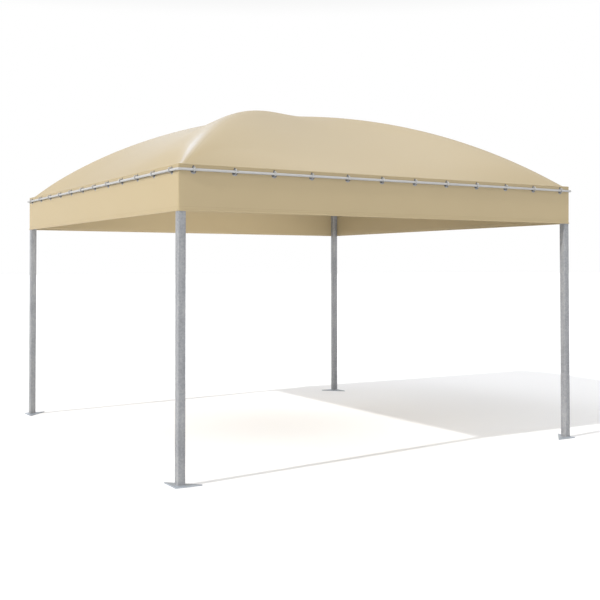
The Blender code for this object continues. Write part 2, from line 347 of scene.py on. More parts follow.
def pick_all(kind):
    """In edit mode, select everything as vertices, edges or faces."""
    bpy.ops.mesh.select_mode(type=kind)
    bpy.ops.mesh.select_all(action="SELECT")


def draw_edges(move):
    """In edit mode, extrude the selected edges."""
    bpy.ops.mesh.extrude_edges_move(TRANSFORM_OT_translate={"value": move})


def draw_faces(move):
    """In edit mode, extrude the selected faces together."""
    bpy.ops.mesh.extrude_region_move(TRANSFORM_OT_translate={"value": move})


def middle_of(part):
    """Middle point of an edge or a face."""
    return sum((corner.co for corner in part.verts), Vector()) / len(part.verts)


def bevel(item, test, width, segments):
    """Round the edges that pass a test."""
    edit(item)
    pick("EDGE", test)
    bpy.ops.mesh.bevel(
        offset=width, offset_type="OFFSET", segments=segments, profile=0.5, affect="EDGES")
    done()
    return item


def modify(item, kind, **settings):
    """Add a modifier and apply it."""
    choose(item)
    modifier = item.modifiers.new(kind.title(), kind)
    for name, value in settings.items():
        setattr(modifier, name, value)
    bpy.ops.object.modifier_apply(modifier=modifier.name)
    return item


def discard(item):
    """Remove an object that has served its purpose."""
    bpy.data.objects.remove(item, do_unlink=True)


def cut(item, tool):
    """Cut a tool out of an object, and remove the tool."""
    modify(item, "BOOLEAN", operation="DIFFERENCE", solver="EXACT", object=tool)
    discard(tool)
    return item


def fuse(item, tool):
    """Unite a tool with an object, and remove the tool."""
    modify(item, "BOOLEAN", operation="UNION", solver="EXACT", object=tool)
    discard(tool)
    return item


def join(items, name):
    """Join objects into one mesh."""
    choose(items[0])
    for item in items:
        item.select_set(True)
    bpy.ops.object.join()
    items[0].name = name
    return items[0]


def face_out(item):
    """Weld double vertices and turn all faces outwards."""
    edit(item)
    bpy.ops.mesh.select_all(action="SELECT")
    bpy.ops.mesh.remove_doubles(threshold=WELD_DISTANCE)
    bpy.ops.mesh.normals_make_consistent(inside=False)
    done()
    return item


def smooth(item, angle=35):
    """Shade smoothly across every edge below an angle, in degrees."""
    choose(item)
    bpy.ops.object.shade_smooth_by_angle(angle=math.radians(angle))
    return item


def copied(item, name, matrix):
    """A copy with its own mesh, taken through a matrix."""
    twin = item.copy()
    twin.data = item.data.copy()
    twin.data.name = name
    twin.data.transform(matrix)
    twin.name = name
    bpy.context.scene.collection.objects.link(twin)
    return twin


def quarter(index):
    """Turn from the front or front left to another side or corner."""
    return Matrix.Rotation(math.pi / 2 * index, 4, "Z")


def hand_in(piece, nodes, finish):
    """Give a finished piece its material and body, and hide the frame's parts that it stands for."""
    piece.data.materials.clear()
    piece.data.materials.append(finish)
    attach(piece, BODY)
    if nodes:
        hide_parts(*nodes)
    return piece


def around(piece, stem, places, finish, node_stem=None):
    """Copy a piece to all sides or corners, and give every copy its material and body."""
    pieces = []
    for index, place in enumerate(places):
        twin = copied(piece, stem + "_" + place, quarter(index))
        nodes = [node_stem + "_" + place] if node_stem else []
        pieces.append(hand_in(twin, nodes, finish))
    discard(piece)
    return pieces


def at_staples(item, name):
    """Copies of an item at every staple of the front side, in place of the item."""
    pitch = 2 * (HALF - STAPLE_MARGIN) / (STAPLES - 1)
    places = [-HALF + STAPLE_MARGIN + pitch * index for index in range(STAPLES)]
    copies = [copied(item, name, Matrix.Translation((x, 0.0, 0.0))) for x in places]
    discard(item)
    return copies


# Materials
class Number:
    """A material socket that takes part in Python expressions."""

    def __init__(self, finish, socket):
        self.finish = finish
        self.socket = socket

    def maths(self, operation, first, second=0.0):
        """A Math node on one or two numbers or sockets."""
        return self.finish.node("ShaderNodeMath", {"operation": operation}, {0: first, 1: second})

    def __add__(self, other):
        return self.maths("ADD", self, other)

    def __radd__(self, other):
        return self.maths("ADD", other, self)

    def __sub__(self, other):
        return self.maths("SUBTRACT", self, other)

    def __rsub__(self, other):
        return self.maths("SUBTRACT", other, self)

    def __mul__(self, other):
        return self.maths("MULTIPLY", self, other)

    def __rmul__(self, other):
        return self.maths("MULTIPLY", other, self)

    def __abs__(self):
        return self.maths("ABSOLUTE", self)

    def larger(self, other):
        """The larger of two numbers."""
        return self.maths("MAXIMUM", self, other)

    def below(self, edge, softness):
        """1 below an edge and 0 above it, fading over a softness to either side."""
        sockets = {"Value": self, "From Min": edge - softness, "From Max": edge + softness,
                   "To Min": 1.0, "To Max": 0.0}
        return self.finish.node("ShaderNodeMapRange", {"interpolation_type": "SMOOTHSTEP"}, sockets)


class Nodes:
    """A node tree whose nodes all come from one method."""

    def __init__(self, tree):
        self.tree = tree

    def node(self, kind, settings, sockets, output=0):
        """Make a node. Its settings come first, then the values or links of its sockets."""
        made = self.tree.nodes.new(kind)
        for name, value in settings.items():
            if name == "stops":
                ramp = made.color_ramp.elements
                while len(ramp) < len(value):
                    ramp.new(0.5)
                for stop, (position, colour) in zip(ramp, value):
                    stop.position = position
                    stop.color = (*colour, 1.0)
            else:
                setattr(made, name, value)
        for name, value in sockets.items():
            self.link(value, made.inputs[name])
        return Number(self, made.outputs[output])

    def link(self, value, socket):
        """Set a socket to a value, or link it to another socket."""
        if isinstance(value, Number):
            self.tree.links.new(value.socket, socket)
        elif isinstance(value, tuple) and len(value) == 3 and socket.type == "RGBA":
            socket.default_value = (*value, 1.0)
        else:
            socket.default_value = value


class Finish(Nodes):
    """A procedural material with one Principled BSDF."""

    def __init__(self, name, **shader):
        self.material = bpy.data.materials.new(name)
        self.material.use_nodes = True
        super().__init__(self.material.node_tree)
        self.shader = self.tree.nodes["Principled BSDF"]
        for name, value in shader.items():
            socket = name.replace("_", " ").title().replace("Ior", "IOR")
            self.shader.inputs[socket].default_value = value
        self.place = self.node("ShaderNodeTexCoord", {}, {}, "Object")

    def feed(self, name, value):
        """Link a value to a socket of the shader."""
        self.link(value, self.shader.inputs[name])

    def noise(self, scale, detail, stretch=(1.0, 1.0, 1.0)):
        """Noise from 0 to 1, about 0.5."""
        spot = self.node("ShaderNodeMapping", {}, {"Vector": self.place, "Scale": stretch})
        return self.node("ShaderNodeTexNoise", {}, {"Vector": spot, "Scale": scale, "Detail": detail}, "Fac")

    def axes(self, place):
        """The three coordinates of a place, or the three channels of a colour."""
        return [self.node("ShaderNodeSeparateXYZ", {}, {"Vector": place}, axis) for axis in range(3)]

    def mix(self, amount, first, second):
        """Mix of two colours."""
        return self.node("ShaderNodeMix", {"data_type": "RGBA"}, {0: amount, 6: first, 7: second}, 2)

    def bump(self, height, distance, strength):
        """Relief that feeds the shader's normal."""
        sockets = {"Height": height, "Distance": distance, "Strength": strength}
        self.feed("Normal", self.node("ShaderNodeBump", {}, sockets, "Normal"))


def coated_fabric():
    """Beige coated fabric: satin, a fine weave under the coating, and pressed weld seams."""
    finish = Finish("coated_fabric", roughness=0.5, specular_ior_level=0.3, coat_weight=0.12,
                    coat_roughness=0.28)
    x, y, z = finish.axes(finish.place)
    cloth = finish.node("ShaderNodeUVMap", {"uv_map": "cloth"}, {})
    ridge = abs(abs(x) - abs(y)) * math.sqrt(0.5)
    on_roof = (0 - z).below(-EAVE - SEAM_ABOVE_EAVE, softness=0.001)
    seam = abs(ridge - SEAM_ASIDE).below(SEAM_HALF, softness=0.001) * on_roof
    band = ridge.below(SEAM_ASIDE, softness=0.002) * on_roof
    hem_line = abs(z - (SKIRT_BOTTOM + HEM_LINE)).below(HEM_LINE_HALF, softness=0.0008)
    cloud = finish.noise(scale=1.3, detail=3.0)
    grain = finish.noise(scale=900.0, detail=2.0)
    weft, warp = [
        finish.node("ShaderNodeTexWave", {"wave_profile": "SIN", "bands_direction": direction},
                    {"Vector": cloth, "Scale": 180.0, "Distortion": 0.4, "Detail": 1.0}, "Fac")
        for direction in ("X", "Y")]
    tint = finish.mix(cloud, BEIGE_DARK, BEIGE_LIGHT)
    line = seam + hem_line
    finish.feed("Base Color", finish.mix(line * 0.35 + band * 0.05, tint, SEAM_BROWN))
    finish.feed("Roughness", 0.48 + cloud * 0.10 + grain * 0.05)
    weave = (weft + warp) * 0.5
    relief = weave * 0.12 + grain * 0.06 + band * 0.5 - line * 0.9
    finish.bump(relief, distance=0.0008, strength=0.6)
    return finish.material


def galvanised_steel():
    """Hot-dip zinc: mottled grey spangle, dull, a little streaked along the posts.

    It is paler and bluer on the foot plates and paler on the staples' wire. On the beams' outer faces
    behind the eyelets it carries painted shade: a dark tint that stands in for the cloth's shade there.
    """
    finish = Finish("galvanised_steel", metallic=0.3)
    flakes = finish.node("ShaderNodeTexVoronoi", {},
                         {"Vector": finish.place, "Scale": 75.0, "Randomness": 1.0}, "Color")
    shade, sheen = finish.axes(flakes)[:2]
    x, y, height = finish.axes(finish.place)
    fine = finish.noise(scale=320.0, detail=3.0)
    streak = finish.noise(scale=26.0, detail=3.0, stretch=(1.0, 1.0, 0.12))
    patch = finish.noise(scale=5.0, detail=2.0)
    level = 0.5
    for pattern, share in ((shade, 0.22), (fine, 0.25), (streak, 0.5), (patch, 0.5)):
        level = level + (pattern - 0.5) * share
    tint = finish.node("ShaderNodeValToRGB", {"stops": ZINC_RANGE}, {"Fac": level})
    reach = abs(x).larger(abs(y))
    above = 1 - height.below(BEAM_LOW.z - BEAM_MARGIN, softness=0.001)
    on_plate = height.below(PLATE_HIGH.z + PLATE_MARGIN, softness=0.002)
    on_wire = (1 - reach.below(HALF + WIRE_MARGIN, softness=0.001)) * above
    # Painted shade: the beams' outer faces behind the eyelets are tinted dark, in place of the cloth's shade
    past_beam = 1 - reach.below(-FRAME_FACE - BEAM_FACE_MARGIN, softness=0.0002)
    behind = past_beam * reach.below(HALF + CLOTH_MARGIN, softness=0.0005) * above
    tint = finish.mix(behind * 0.85, tint, ZINC_PAINTED_SHADE)
    tint = finish.mix(on_wire * 0.8, tint, ZINC_WIRE)
    finish.feed("Base Color", finish.mix(on_plate * 0.8, tint, ZINC_PLATE))
    finish.feed("Roughness", 0.38 + sheen * 0.14 + fine * 0.12)
    finish.bump(shade * 0.4 + fine * 0.6, distance=0.0006, strength=0.35)
    return finish.material


def bar_steel():
    """Zinc-plated round bar: pale satin with fine scratches."""
    finish = Finish("bar_steel", metallic=0.2)
    fine = finish.noise(scale=400.0, detail=2.0)
    patch = finish.noise(scale=14.0, detail=2.0)
    finish.feed("Base Color", finish.mix(patch, BAR_GREY, BAR_PALE))
    finish.feed("Roughness", 0.55 + fine * 0.12 + patch * 0.08)
    finish.bump(fine, distance=0.0004, strength=0.2)
    return finish.material


def pale_floor():
    """Plain white studio floor."""
    finish = Finish("pale_floor", roughness=0.9, specular_ior_level=0.0)
    finish.feed("Base Color", FLOOR_WHITE)
    return finish.material


# Roof
def dome_height(x, y):
    """Height of the fabric: arched over the ribs, rounded along the ridges, sagging between."""
    reach = np.maximum(np.abs(x), np.abs(y))
    across = np.minimum(np.abs(x), np.abs(y)) / np.maximum(reach, TINY)
    ridge = CROWN - 2 * RIDGE_FALL_SQUARE * reach ** 2 - 4 * RIDGE_FALL_FOURTH * reach ** 4
    slope = 4 * RIDGE_FALL_SQUARE * reach + 16 * RIDGE_FALL_FOURTH * reach ** 3
    sag = SAG_MIDDLE * np.sin(math.pi * reach / HALF) + SAG_LOWER * np.sin(2 * math.pi * reach / HALF)
    aside = np.abs(np.abs(x) - np.abs(y)) / math.sqrt(2)
    outer = np.clip((reach - RIDGE_CHANGE) / (HALF - RIDGE_CHANGE), 0.0, 1.0)
    spread = RIDGE_SPREAD + (RIDGE_SPREAD_OUTER - RIDGE_SPREAD) * outer * outer * (3 - 2 * outer)
    radius = RIDGE_ROUND * np.clip((HALF - reach) / RIDGE_END, RIDGE_THINNEST, 1.0) ** RIDGE_END_POWER
    swell = aside - np.sqrt(aside ** 2 + radius ** 2) + radius
    swell = slope / math.sqrt(2) * swell * np.exp(-(aside / spread) ** 2)
    height = ridge - RIDGE_DROP - sag * (1 - across ** 2) ** SAG_POWER + swell
    rise = (height - EAVE) / 2
    return EAVE + rise + np.sqrt(rise ** 2 + EAVE_EASE ** 2) - EAVE_EASE


def side_stations():
    """Places across half a side from its corner, close together near the corner."""
    places = [0.0]
    step = FIRST_STEP
    while places[-1] + step < HALF:
        places.append(places[-1] + step)
        step = min(step * STEP_GROWTH, WIDEST_STEP)
    places[-1] = HALF
    return places


def roof_rings():
    """Rings from the crown out, over the eave and down: plan distance, and drop below the eave.

    A ring on the dome has no drop, because its height follows the dome.
    """
    dome_reach = HALF - LEDGE
    dome = [(dome_reach * (index / DOME_RINGS) ** DOME_POWER, None) for index in range(1, DOME_RINGS + 1)]
    ledge = [(HALF - LEDGE * share, None) for share in LEDGE_SHARES]
    fold = []
    for step in range(EAVE_STEPS + 1):
        angle = math.pi / 2 * step / EAVE_STEPS
        fold.append((HALF - EAVE_RADIUS * (1 - math.sin(angle)), EAVE_RADIUS * (1 - math.cos(angle))))
    fold += [(HALF, (EAVE_RADIUS + LAP_DEPTH) / 2), (HALF, LAP_DEPTH)]
    return dome + ledge + fold


def make_roof():
    """One continuous sheet from the crown over the eave, in rings that follow the square plan."""
    half_side = side_stations()
    shares = [-1 + place / HALF for place in half_side]
    shares += [-share for share in reversed(shares[:-1])]
    shape = bmesh.new()
    cloth = shape.loops.layers.uv.new("cloth")
    crown = shape.verts.new((0.0, 0.0, float(dome_height(0.0, 0.0))))
    rows = []
    for distance, drop in roof_rings():
        row = []
        for index in range(4):
            turn = quarter(index)
            for share in shares[:-1]:
                point = Vector((share * distance, -distance))
                inner = max(distance - CORNER_RADIUS, 0.0)
                off = Vector((max(abs(point.x) - inner, 0.0), distance - inner))
                if drop is not None and off.length > CORNER_RADIUS:
                    off *= CORNER_RADIUS / off.length
                    point = Vector((math.copysign(inner + off.x, point.x), -inner - off.y))
                height = float(dome_height(point.x, point.y)) if drop is None else EAVE - drop
                row.append(shape.verts.new(turn @ Vector((point.x, point.y, height))))
        rows.append(row)
    count = len(rows[0])
    for index in range(count):
        shape.faces.new((crown, rows[0][index], rows[0][(index + 1) % count]))
    for row, following in zip(rows, rows[1:]):
        for index in range(count):
            beside = (index + 1) % count
            shape.faces.new((row[index], following[index], following[beside], row[beside]))
    for face in shape.faces:
        for loop in face.loops:
            spot = loop.vert.co
            unrolled = 1 + max(EAVE - spot.z, 0.0) / HALF
            loop[cloth].uv = (spot.x * unrolled, spot.y * unrolled)
    roof = face_out(from_shape("roof_fabric", shape))
    modify(roof, "SOLIDIFY", thickness=FABRIC, offset=-1.0, use_even_offset=True)
    return smooth(roof, angle=50)


# Skirt
def skirt_profile():
    """Closed section of a skirt as (out from the fabric's plane, height): face, rolled hem, back."""
    outer = -FABRIC - LAYER_GAP
    back = outer - FABRIC
    hem_top = SKIRT_BOTTOM + 2 * HEM_HALF_HEIGHT + HEM_NECK
    heights = [SKIRT_TOP - (SKIRT_TOP - hem_top) * index / SKIRT_ROWS for index in range(SKIRT_ROWS + 1)]
    hem = []
    for step in range(HEM_STEPS + 1):
        angle = math.radians(HEM_START - HEM_TURN * step / HEM_STEPS)
        hem.append((HEM_OUT + HEM_HALF_THICK * math.cos(angle),
                    SKIRT_BOTTOM + HEM_HALF_HEIGHT * (1 + math.sin(angle))))
    return [(outer, z) for z in heights] + hem + [(back, z) for z in reversed(heights)]


def corner_radius(height):
    """Radius of the skirt's folded corner: tight at the bar, open at the hem."""
    free = min(max((BAR_LEVEL - height) / (BAR_LEVEL - SKIRT_BOTTOM), 0.0), 1.0)
    return CORNER_RADIUS + (CORNER_OPEN - CORNER_RADIUS) * free ** CORNER_POWER


def skirt_stations():
    """Stations of the front skirt: along its tail, round the left corner and along the front.

    Each is a kind and a measure: the distance from the corner, the angle, or the share of the run.
    """
    stations = [("tail", place) for place in (TAIL, TAIL / 2, TAIL_ROOT)]
    stations += [("fold", math.pi / 2 * step / FOLD_STEPS) for step in range(FOLD_STEPS + 1)]
    return stations + [("run", index / SKIRT_RUNS) for index in range(1, SKIRT_RUNS + 1)]


def skirt_place(kind, measure, height):
    """A station's place at a height, its outward direction, how far it is tucked in, and its length."""
    radius = corner_radius(height)
    bend = Vector((-HALF + radius, -HALF + radius, 0.0))
    full_tuck = FABRIC + LAYER_GAP
    left = Vector((-1.0, 0.0, 0.0))
    front = Vector((0.0, -1.0, 0.0))
    if kind == "tail":
        return bend + left * radius + Vector((0.0, measure, 0.0)), left, full_tuck, -measure
    if kind == "fold":
        out = left * math.cos(measure) + front * math.sin(measure)
        tuck = full_tuck * max(1 - measure * TUCK_FADE, 0.0)
        return bend + out * radius, out, tuck, CORNER_RADIUS * measure
    run = 2 * (HALF - radius) * measure
    return bend + front * radius + Vector((run, 0.0, 0.0)), front, 0.0, run + CORNER_RADIUS * math.pi / 2


def ripple_at(along, height):
    """How far the hanging part of a skirt stands out: nothing at the bar and the corners."""
    free = max(0.0, (BAR_LOW.z - height) / (BAR_LOW.z - SKIRT_BOTTOM))
    before = max(along - RIPPLE_MARGIN, 0.0)
    after = max(2 * HALF - along - RIPPLE_MARGIN, 0.0)
    ends = min(before, after, RIPPLE_GROWTH) / RIPPLE_GROWTH
    wave = sum(size * math.sin(along * rate + start) for size, rate, start in RIPPLE_WAVES)
    return RIPPLE * free ** RIPPLE_POWER * ends * wave


def make_skirt():
    """Front skirt: folded round the left corner, its tail tucked behind the neighbour's end."""
    shape = bmesh.new()
    cloth = shape.loops.layers.uv.new("cloth")
    profile = skirt_profile()
    rows = []
    uv_of = {}
    for kind, measure in skirt_stations():
        row = []
        for offset, height in profile:
            place, out, tuck, along = skirt_place(kind, measure, height)
            stand = offset - tuck + ripple_at(along, height)
            vertex = shape.verts.new(place + out * stand + Vector((0.0, 0.0, height)))
            uv_of[vertex] = (along, height)
            row.append(vertex)
        rows.append(row)
    count = len(profile)
    for row, following in zip(rows, rows[1:]):
        for index in range(count):
            beside = (index + 1) % count
            shape.faces.new((row[index], row[beside], following[beside], following[index]))
    shape.faces.new(rows[0])
    shape.faces.new(rows[-1])
    bmesh.ops.recalc_face_normals(shape, faces=shape.faces)
    for face in shape.faces:
        for loop in face.loops:
            loop[cloth].uv = uv_of[loop.vert]
    skirt = cut(from_shape("skirt_fabric", shape), make_eyelet_cutters())
    return smooth(skirt, angle=50)


def eyelet_size(reach_out):
    """Radius and half the straight length of an eyelet before its top is drawn in."""
    return EYELET_WIDTH / 2 + reach_out, (EYELET_HEIGHT - EYELET_WIDTH) / 2


def narrow_top():
    """In edit mode, draw in the upper half of an eyelet, which makes it pear-shaped."""
    pick("VERT", lambda vertex: vertex.co.z > BAR_LEVEL)
    bpy.ops.transform.resize(value=(EYELET_NARROWING, 1.0, 1.0))


def make_eyelet_cutters():
    """Upright pear-shaped punches through the front skirt."""
    radius, straight = eyelet_size(0.0)
    bpy.ops.mesh.primitive_cylinder_add(
        vertices=PUNCH_SIDES, radius=radius, depth=PUNCH_DEPTH, location=(0.0, -HALF, BAR_LEVEL),
        rotation=(math.pi / 2, 0.0, 0.0))
    punch = added("eyelet_punch")
    edit(punch)
    for way in (1, -1):
        pick("VERT", lambda vertex: (vertex.co.z - BAR_LEVEL) * way > NEAR)
        bpy.ops.transform.translate(value=(0.0, 0.0, way * straight))
    narrow_top()
    done()
    return join(at_staples(punch, "punch"), "punches")


def make_eyelets():
    """Twelve pressed pear-shaped rings, one round each eyelet of the front skirt."""
    radius, straight = eyelet_size(RING_OUT)
    cloth_middle = -HALF + LAYER_GAP + 1.5 * FABRIC
    bpy.ops.mesh.primitive_circle_add(
        vertices=RING_SIDES, radius=RING_HALF_WIDTH, location=(radius, cloth_middle, BAR_LEVEL - straight))
    ring = added("eyelet_ring")
    edit(ring)
    pick_all("EDGE")
    bpy.ops.transform.resize(value=(1.0, RING_HALF_THICK / RING_HALF_WIDTH, 1.0))
    for way in (1, -1):
        draw_edges((0.0, 0.0, way * 2 * straight))
        bpy.ops.mesh.spin(steps=RING_STEPS, angle=math.pi, axis=(0.0, 1.0, 0.0),
                          center=(0.0, cloth_middle, BAR_LEVEL + way * straight))
    narrow_top()
    done()
    smooth(face_out(ring), angle=60)
    return join(at_staples(ring, "ring"), "eyelets")


# Square tube and what joins it
def is_long_edge(edge, axis, length=LONG_EDGE):
    """Whether an edge runs along an axis and is longer than a length."""
    run = edge.verts[1].co - edge.verts[0].co
    return abs(run[axis]) > NEARLY * run.length and run.length > length


def square_tube(name, low, high, axis):
    """Hollow square tube with rounded corners, open at both ends."""
    tube = block(name, low, high)
    bevel(tube, lambda edge: is_long_edge(edge, axis), TUBE_CORNER, segments=4)
    edit(tube)
    pick("FACE", lambda face: abs(face.normal[axis]) > NEARLY)
    bpy.ops.mesh.delete(type="FACE")
    done()
    modify(tube, "SOLIDIFY", thickness=WALL, offset=-1.0, use_even_offset=True)
    return tube


def make_post():
    """Front left post."""
    return smooth(square_tube("post", POST_LOW, POST_HIGH, 2))


def hex_bolt(name, place, out, size):
    """Hexagon head with a washer, seated on a face."""
    place = Vector(place)
    out = Vector(out)
    seat = place + out * size * WASHER_TOP
    top = place + out * size * HEAD_TOP
    washer = rod(name, place, seat, size * WASHER_RADIUS, sides=20)
    head = rod(name, seat, top, size * HEAD_RADIUS, sides=6)
    edit(head)
    pick("FACE", lambda face: (middle_of(face) - top).length < 5 * NEAR)
    bpy.ops.mesh.inset(thickness=size * HEAD_INSET)
    bpy.ops.transform.translate(value=out * size * HEAD_CROWN)
    done()
    return [washer, head]


def make_foot_plate():
    """Front left foot plate: a right-angled triangle with two anchor holes, welded to the post."""
    plate = block("foot_plate", PLATE_LOW, PLATE_HIGH)
    edit(plate)
    bpy.ops.mesh.select_all(action="SELECT")
    bpy.ops.mesh.bisect(plane_co=(PLATE_LOW.x, PLATE_HIGH.y, 0.0), plane_no=(1.0, 1.0, 0.0),
                        use_fill=True, clear_outer=True)
    done()
    bevel(plate, lambda edge: is_long_edge(edge, 2, length=CLOSE), PLATE_CORNER, segments=3)
    bevel(plate, lambda edge: all(end.co.z > PLATE_HIGH.z - 5 * NEAR for end in edge.verts),
          PLATE_EDGE, segments=2)
    for x, y in ((ANCHOR_ALONG, ANCHOR_IN), (ANCHOR_IN, ANCHOR_ALONG)):
        start, end = [PLATE_LOW + Vector((x, y, 0.0)) + Vector((0, 0, z)) for z in ANCHOR_DRILL]
        cut(plate, rod("hole", start, end, ANCHOR_RADIUS))
    bead_low = Vector((POST_LOW.x - BEAD_OUT, POST_LOW.y - BEAD_OUT, PLATE_HIGH.z + BEAD_SEAT))
    bead_high = Vector((POST_HIGH.x + BEAD_OUT, POST_HIGH.y + BEAD_OUT, PLATE_HIGH.z + BEAD_WALL))
    bead = block("weld", bead_low, bead_high)
    edit(bead)
    pick("FACE", lambda face: face.normal.z > NEARLY)
    for rise, shrink in BEAD_SLOPES:
        draw_faces((0.0, 0.0, rise))
        bpy.ops.transform.resize(value=(shrink, shrink, 1.0))
    done()
    bevel(bead, lambda edge: edge.is_manifold and abs(edge.verts[0].co.z - edge.verts[1].co.z) > CLOSE,
          BEAD_CORNER, segments=4)
    return smooth(join([plate, bead], "foot_plate"))


def make_bracket():
    """Front left corner bracket: a block with an arm for each beam and a spigot for the rib."""
    low = Vector((FRAME_FACE, FRAME_FACE, BEAM_LOW.z))
    high = Vector((FRAME_FACE + TUBE, FRAME_FACE + TUBE, BEAM_HIGH.z))
    bracket = block("corner_bracket", low, high)
    edit(bracket)
    for axis in (0, 1):
        pick("FACE", lambda face: face.normal[axis] > NEARLY and face.calc_area() > TUBE ** 2 * NEARLY)
        push = [0.0, 0.0, 0.0]
        push[axis] = ARM
        draw_faces(push)
    done()

    def is_outer_edge(edge):
        """Whether an edge is sharp, long, and not on the end of an arm."""
        middle = middle_of(edge)
        on_end = abs(middle.x - (high.x + ARM)) < CLOSE or abs(middle.y - (high.y + ARM)) < CLOSE
        sharp = len(edge.link_faces) == 2 and edge.calc_face_angle(0.0) > 1.0
        return sharp and edge.calc_length() > ARM_EDGE and not on_end

    bevel(bracket, is_outer_edge, BRACKET_EDGE, segments=3)
    inside = [low.x + TUBE / 2, low.y + TUBE / 2, (low.z + high.z) / 2]
    spigot = TUBE / 2 - WALL - GAP
    for axis, way in ((0, 1), (1, 1), (2, -1)):
        end = list(inside)
        end[axis] += way * (TUBE / 2 + SPIGOT_LENGTH + (ARM if axis < 2 else 0.0))
        sides = [0.0 if index == axis else spigot for index in range(3)]
        corner_low = [min(a, b) - side for a, b, side in zip(inside, end, sides)]
        corner_high = [max(a, b) + side for a, b, side in zip(inside, end, sides)]
        fuse(bracket, block("spigot", corner_low, corner_high))
    foot = rib_point(RIB_FOOT)
    direction = (rib_point(RIB_FOOT - RIB_FOOT_RUN) - foot).normalized()
    start = foot - direction * (RIB_SPIGOT_ROOT - RIB_FOOT) * math.hypot(1.0, direction.z)
    fuse(bracket, rod("rib_spigot", start, foot - direction * GAP, RIB_RADIUS))
    bolts = []
    for axis in (0, 1):
        place = [high.x, high.y, (low.z + high.z) / 2]
        place[axis] = high[axis] + ARM + BRACKET_BOLT_PAST_ARM
        out = [0.0, 0.0, 0.0]
        out[1 - axis] = 1.0
        bolts += hex_bolt("bolt", place, out, BRACKET_BOLT)
    return smooth(join([bracket, *bolts], "corner_bracket"))


def make_staple():
    """Round wire staple of the front side, bent out through an eyelet and round the bar."""
    throat = BAR_LOW.y - GAP - WIRE
    low = BAR_LOW.z - GAP - WIRE
    high = BAR_HIGH.z + WIRE_ROOM + WIRE
    root = FRAME_FACE + WIRE_ROOT
    bpy.ops.mesh.primitive_circle_add(
        vertices=WIRE_SIDES, radius=WIRE, location=(0.0, root, low), rotation=(math.pi / 2, 0.0, 0.0))
    staple = added("staple")
    edit(staple)
    pick_all("EDGE")
    reach = throat + WIRE_BEND - root
    rise = high - low - 2 * WIRE_BEND
    draw_edges((0.0, reach, 0.0))
    for level, move in ((low + WIRE_BEND, (0.0, 0.0, rise)), (high - WIRE_BEND, (0.0, -reach, 0.0))):
        bpy.ops.mesh.spin(steps=WIRE_BEND_STEPS, angle=math.pi / 2, axis=(1.0, 0.0, 0.0),
                          center=(0.0, throat + WIRE_BEND, level))
        draw_edges(move)
    done()
    face_out(staple)
    welds = []
    for z in (low, high):
        bpy.ops.mesh.primitive_cone_add(
            vertices=WIRE_SIDES, radius1=WIRE_WELD_BASE, radius2=WIRE_WELD_TIP, depth=WIRE_WELD_DEPTH,
            location=(0.0, FRAME_FACE - WIRE_ROOT, z), rotation=(math.pi / 2, 0.0, 0.0))
        welds.append(added("staple_weld"))
    return smooth(join([staple, *welds], "staple"), angle=50)


def make_beam():
    """Front eave beam with its twelve staples."""
    low = (BEAM_LOW.x, FRAME_FACE, BEAM_LOW.z)
    high = (BEAM_HIGH.x, FRAME_FACE + TUBE, BEAM_HIGH.z)
    beam = smooth(square_tube("eave_beam", low, high, 0))
    return join([beam, *at_staples(make_staple(), "staple")], "eave_beam")


# Round bars
def make_bar():
    """Front tension bar."""
    start = (BAR_LOW.x, BAR_LINE, BAR_LEVEL)
    end = (BAR_HIGH.x, BAR_LINE, BAR_LEVEL)
    bar = rod("tension_bar", start, end, BAR_RADIUS)
    bevel(bar, lambda edge: abs(abs(middle_of(edge).x) - BAR_HIGH.x) < NEAR, BAR_EDGE, segments=2)
    return smooth(bar)


def make_elbow():
    """Quarter bend of the bar round the front left corner."""
    centre = BAR_LINE + ELBOW_RADIUS
    bpy.ops.mesh.primitive_circle_add(
        vertices=ROUND_SIDES, radius=BAR_RADIUS, fill_type="NGON", location=(BAR_LINE, centre, BAR_LEVEL),
        rotation=(math.pi / 2, 0.0, 0.0))
    elbow = added("bar_elbow")
    edit(elbow)
    pick_all("FACE")
    bpy.ops.mesh.spin(steps=ELBOW_STEPS, angle=math.pi / 2, axis=(0.0, 0.0, -1.0),
                      center=(centre, centre, BAR_LEVEL))
    done()
    return smooth(face_out(elbow))


# Ribs and hub
def rib_point(reach):
    """Middle of the rib tube under the front left ridge, square below a point of that ridge."""
    slope = -2 * RIDGE_FALL_SQUARE * reach - 4 * RIDGE_FALL_FOURTH * reach ** 3
    depth = (CLOTH_IN_FRAME + RIB_CLEAR + RIB_RADIUS) / math.hypot(1.0, slope)
    ridge = CROWN - RIDGE_FALL_SQUARE * reach ** 2 - RIDGE_FALL_FOURTH * reach ** 4
    flat = (reach + slope * depth) / math.sqrt(2)
    return Vector((-flat, -flat, ridge - depth))


def make_rib():
    """Half an arch of round tube under the front left ridge."""
    line = bpy.data.curves.new("rib", "CURVE")
    line.dimensions = "3D"
    spline = line.splines.new("POLY")
    spline.points.add(RIB_STEPS)
    for index, point in enumerate(spline.points):
        point.co = (*rib_point(RIB_TOP + (RIB_FOOT - RIB_TOP) * index / RIB_STEPS), 1.0)
    line.bevel_depth = RIB_RADIUS
    line.bevel_resolution = RIB_RESOLUTION
    rib = placed("rib", line)
    choose(rib)
    bpy.ops.object.convert(target="MESH")
    face_out(rib)
    modify(rib, "SOLIDIFY", thickness=WALL, offset=-1.0, use_even_offset=True)
    return smooth(rib)


